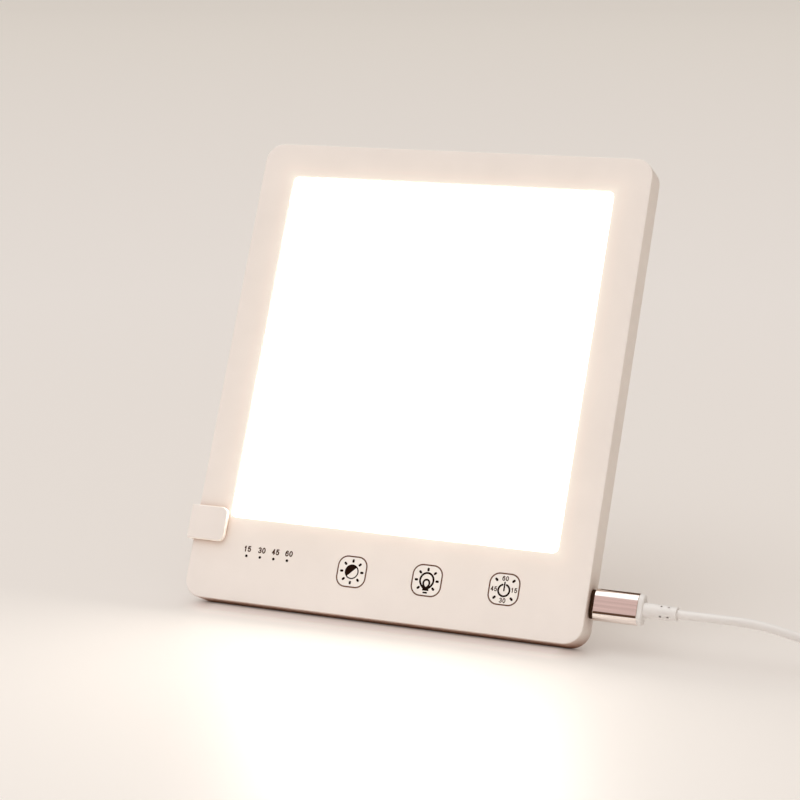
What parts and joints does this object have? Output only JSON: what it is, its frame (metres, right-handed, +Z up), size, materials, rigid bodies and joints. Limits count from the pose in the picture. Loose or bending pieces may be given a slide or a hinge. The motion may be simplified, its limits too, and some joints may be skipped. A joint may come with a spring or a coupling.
{
  "type": "light therapy lamp",
  "caption": "Slim upright light panel with touch keys, leaning on a clip-on stand with a swing leg, fed by a cord plugged into its side.",
  "frame": {"origin": "on the table, under the middle of the lamp's outline without its cord", "axes": "+Z up, +X to the right along the panel as seen from the front, +Y to the back, from the panel's face to the leg's foot"},
  "size_m": [0.3436, 0.108, 0.184],
  "materials": {
    "housing_white": "fine matt moulded surface, warm white",
    "cover_white": "fine matt moulded surface, warm white",
    "diffuser_opal": "opal, evenly lit from behind",
    "film_white": "satin film",
    "guide_clear": "clear polished acrylic sheet",
    "spreader_aluminium": "plain rolled sheet",
    "board_green": "solder resist",
    "chip_black": "moulded epoxy",
    "led_yellow": "phosphor",
    "foam_grey": "conductive woven foam",
    "part_white": "natural nylon",
    "screw_steel": "zinc plated",
    "socket_steel": "nickel plated",
    "plug_black": "moulded",
    "sleeve_rose": "polished, rose tinted",
    "cord_white": "soft satin",
    "tie_white": "ribbed strap",
    "stand_white": "fine matt moulded surface, warm white",
    "pad_grey": "soft matt",
    "pin_steel": "ground",
    "wire_red": "thin insulation",
    "pipe_smoke": "smoked light pipe, dark while its light is off",
    "sign_field": "pale printed field of a touch key",
    "sign_outline": "thin brown printed line",
    "sign_ink": "matt dark brown screen print"
  },
  "bodies": {
    "lamp": {"front_housing": "housing_white", "rear_cover": "cover_white", "case_screws": "screw_steel", "diffuser_panel": "diffuser_opal", "diffuser_film": "film_white", "light_guide": "guide_clear", "reflector_sheet": "film_white", "heat_spreader": "spreader_aluminium", "led_strip_left": "part_white", "led_strip_right": "part_white", "led_chips_left": "led_yellow", "led_chips_right": "led_yellow", "control_board": "board_green", "board_screws": "screw_steel", "touch_pad_dimmer": "foam_grey", "touch_pad_colour": "foam_grey", "touch_pad_power": "foam_grey", "timer_light_pipes": "pipe_smoke", "timer_leds": "led_yellow", "controller_chip": "chip_black", "driver_chip": "chip_black", "power_inductor": "chip_black", "capacitors": "socket_steel", "lead_connector_left": "part_white", "lead_connector_right": "part_white", "led_leads": "wire_red", "usb_socket_shell": "socket_steel", "usb_socket_tongue": "plug_black"},
    "stand": {"stand_bracket": "stand_white", "rest_pads": "pad_grey", "hinge_pin": "pin_steel"},
    "leg": {"stand_leg": "stand_white", "foot_pad": "pad_grey"},
    "cable": {"plug_shell": "socket_steel", "plug_insulator": "plug_black", "plug_core": "plug_black", "plug_sleeve": "sleeve_rose", "plug_end_cap": "cord_white", "strain_relief": "cord_white", "cord_tube": "cord_white", "cord_coil": "cord_white", "cord_tail": "cord_white", "cord_tie": "tie_white", "far_strain_relief": "cord_white", "far_plug_grip": "cord_white", "far_plug_shell": "socket_steel", "far_plug_tongue": "part_white"}
  },
  "joints": [
    {"name": "stand_slide", "type": "slide", "parent": "lamp", "child": "stand", "axis": [1, 0, 0], "range_m": [-0.02, 0]},
    {"name": "leg_hinge", "type": "hinge", "parent": "stand", "child": "leg", "pos_m": [0.0011, 0.00842, 0.08808], "axis": [1, 0, 0], "range_deg": [-50.86, 0]},
    {"name": "plug_pull", "type": "slide", "parent": "lamp", "child": "cable", "axis": [1, 0, 0], "range_m": [0, 0.015]}
  ]
}
